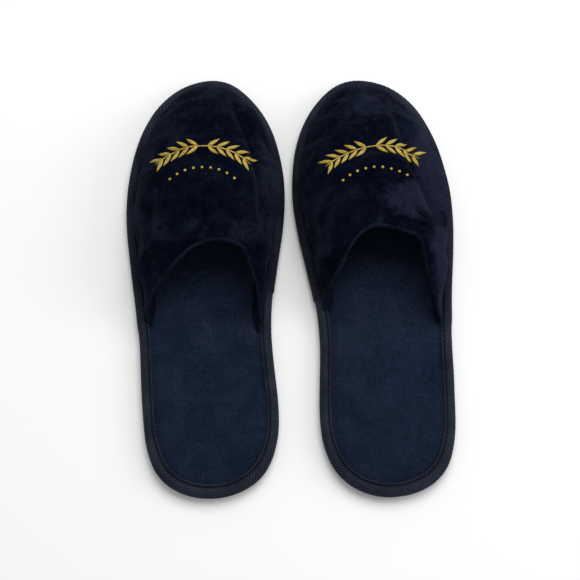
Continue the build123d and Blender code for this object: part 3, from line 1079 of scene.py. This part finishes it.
def satin(centre_line, widths, slant, height):
    """A satin-stitched bar: a raised form round a centre line, ribbed by threads that cross it aslant.
    Returns the plan points and the height over the cloth."""
    line = smooth_curve(centre_line, max(int(run_along(centre_line)[-1] / SATIN_STEP), 12))
    ahead = unit(np.gradient(line, axis=0))
    side_way = np.column_stack([-ahead[:, 1], ahead[:, 0]])
    share = np.linspace(0, 1, len(line))
    w = widths(share)[:, None]
    t = np.linspace(-1, 1, 17)[None, :]
    run = share[:, None] * run_along(line)[-1]
    phase = (run - np.abs(t) * w * slant) / THREAD_PITCH
    rib = np.abs(np.sin(pi * phase)) ** 0.8
    crown = np.sqrt(np.maximum(1 - t**2, 0))
    notch = 1 - 0.35 * bell(t, 0.10) * (slant > 0)
    lift = height * crown * notch * (0.72 + 0.28 * rib) + 0.02
    jag = 1 + 0.05 * (rib - 0.5) * (np.abs(t) > 0.9)
    plan = line[:, None] + side_way[:, None] * (t * w * jag)[..., None]
    return plan, lift


def stem_half_width(share):
    return STEM_WIDTH / 2 * np.minimum(1, 12 * np.minimum(share, 1 - share) + 0.2)


def leaf_half_width(share):
    return LEAF_WIDTH / 2 * np.maximum(np.sin(pi * share ** 0.9), 0.03)


def berry_half_width(share):
    return BERRY_RADIUS * np.sqrt(np.maximum(1 - (2 * share - 1) ** 2, 0.02))


def garland_bars():
    """Every bar of the garland: (plan grid, lift grid)."""
    sweep = np.radians(np.linspace(90 + STEM_SWEEP, 90 - STEM_SWEEP, 40))
    stem = np.column_stack([np.cos(sweep), np.sin(sweep)]) * STEM_RADIUS + GARLAND_AT
    bars = [satin(stem, stem_half_width, 0.0, 0.45)]
    leaf_line = [(0.4, 0), (LEAF_LENGTH / 2, 0), (LEAF_LENGTH, 0)]
    for angle in LEAF_ANGLES:
        for side in (1, -1):
            root = turned([(0, STEM_RADIUS)], side * angle, GARLAND_AT)[0]
            for splay in (LEAF_SPLAY, -LEAF_SPLAY):
                heading = side * angle + 90 + side * (90 + splay)
                bars.append(satin(turned(leaf_line, heading, root), leaf_half_width, 0.9, 0.75))
    for angle in BERRY_ANGLES:
        at = turned([(0, BERRY_ARC_RADIUS)], angle, GARLAND_AT)[0]
        line = turned([(-BERRY_RADIUS, 0), (0, 0), (BERRY_RADIUS, 0)], 30, at)
        bars.append(satin(line, berry_half_width, 0.0, 0.65))
    return bars


def build_embroidery(side, shell, layers):
    """The garland, draped over the shell, and its backing patch under the shell."""
    mesh = shell.data
    tree = BVHTree.FromPolygons([Vector(v) for v in read_back(mesh.vertices, "co", 3)],
                                [tuple(p.vertices) for p in mesh.polygons])
    down = Vector((0, 0, -1))

    def drape(plan, lift):
        flat = np.column_stack([plan.reshape(-1, 2), np.full(plan.shape[0] * plan.shape[1], DROP_FROM)])
        world = to_row(flat, side)
        out = []
        for point, h in zip(world, lift.ravel()):
            hit, normal, _, _ = tree.ray_cast(Vector(point), down)
            if normal.z < 0:
                normal = -normal
            out.append(hit + normal * (h * MM))
        return from_row(out, side).reshape(*plan.shape[:2], 3)

    solids = []
    for plan, lift in garland_bars():
        solids.append(slab(drape(plan, lift), drape(plan, np.full(lift.shape, -STITCHED_IN))))
    make_piece("embroidery", side, join(*solids), GOLD, ["embroidery"])
    # the patch behind it follows the same surface, just under the shell
    surface, inner = layers[SHELL_T][::3, ::3], layers[PADDING_END][::3, ::3]
    x, y = surface[..., 0] / BACKING_HALF[0], (surface[..., 1] - BACKING_Y) / BACKING_HALF[1]
    oval = x**2 + y**2 < 1
    rows = np.flatnonzero(oval.any(axis=1))
    cols = np.flatnonzero(oval.any(axis=0))
    part = (slice(rows[0], rows[-1] + 1), slice(cols[0], cols[-1] + 1))
    top, under = (between(surface[part], inner[part], share) for share in BACKING_SHARES)
    make_piece("embroidery_backing", side, slab(top, under), NONWOVEN,
               ["embroidery_backing"])


# ---- the pair ----


for side in SIDES:
    build_outsole(side)
    build_insole(side)
    build_binding(side)
    build_seams(side)
    build_upper(side)
    for node, material in (("stiffener_board", BOARD), ("cushion_foam", FOAM)):
        cad = frame["nodes"][f"{side}_{node}"]
        cad.data.materials.clear()
        cad.data.materials.append(material)


# ---- floor, light and camera ----


# The floor, in metres: how far it reaches to the sides and the front, and to the back, where it sweeps up.
FLOOR_REACH, FLOOR_BACK = 5.0, 2.4
SWEEP_FROM, SWEEP_RISE = 1.2, 0.9
FLOOR_CELLS = 60


def studio_floor():
    mat, tree, bsdf = shader("floor_paper", 0.9, specular=0.1)
    tree.links.new(ramp(tree, noise(tree, 3, 2), (0.3, grey(0.955)), (0.7, grey(0.965))),
                   bsdf.inputs["Base Color"])
    x, y = np.meshgrid(np.linspace(-FLOOR_REACH, FLOOR_REACH, FLOOR_CELLS),
                       np.linspace(-FLOOR_REACH, FLOOR_BACK, FLOOR_CELLS), indexing="ij")
    z = SWEEP_RISE * smoothstep(y, SWEEP_FROM, FLOOR_BACK) ** 2
    mesh = bpy.data.meshes.new("floor")
    mesh.from_pydata(np.dstack([x, y, z]).reshape(-1, 3).tolist(), [], grid_faces(FLOOR_CELLS, FLOOR_CELLS))
    mesh.polygons.foreach_set("use_smooth", [True] * len(mesh.polygons))
    mesh.materials.append(mat)
    floor = add_object("floor", mesh)


def softbox(name, place, aim, size, power):
    data = bpy.data.lights.new(name, "AREA")
    data.shape = "RECTANGLE"
    data.size, data.size_y = size
    data.energy = power
    lamp = add_object(name, data)
    lamp.location = place
    lamp.rotation_euler = (Vector(aim) - Vector(place)).to_track_quat("-Z", "Y").to_euler()


WORLD_STRENGTH = 0.42
CAMERA_TILT = 15.0
CAMERA_DISTANCE = 1.0
CAMERA_AIM = (0.0003, -0.0048, 0.005)
LENS = 92.16


def camera():
    data = bpy.data.cameras.new("camera")
    data.sensor_width = 36.0
    data.lens = LENS
    data.clip_start = 0.05
    cam = add_object("camera", data)
    tilt = radians(CAMERA_TILT)
    cam.location = Vector(CAMERA_AIM) + Vector((0, -sin(tilt), cos(tilt))) * CAMERA_DISTANCE
    cam.rotation_euler = (tilt, 0, 0)
    bpy.context.scene.camera = cam


studio_floor()
softbox("overhead", (0.22, 0.80, 1.5), (0, 0, 0), (1.2, 1.2), 19.5)
softbox("right_fill", (1.3, 0.1, 0.8), (0, 0, 0), (0.9, 0.9), 6.5)
softbox("heel_fill", (-0.2, -1.4, 0.9), (0, -0.1, 0), (1.2, 0.6), 0.8)
world = bpy.data.worlds.new("studio")
world.use_nodes = True
set_inputs(world.node_tree.nodes["Background"], {"Color": (1, 1, 1, 1), "Strength": WORLD_STRENGTH})
bpy.context.scene.world = world
bpy.context.scene.view_settings.view_transform = "Standard"
camera()
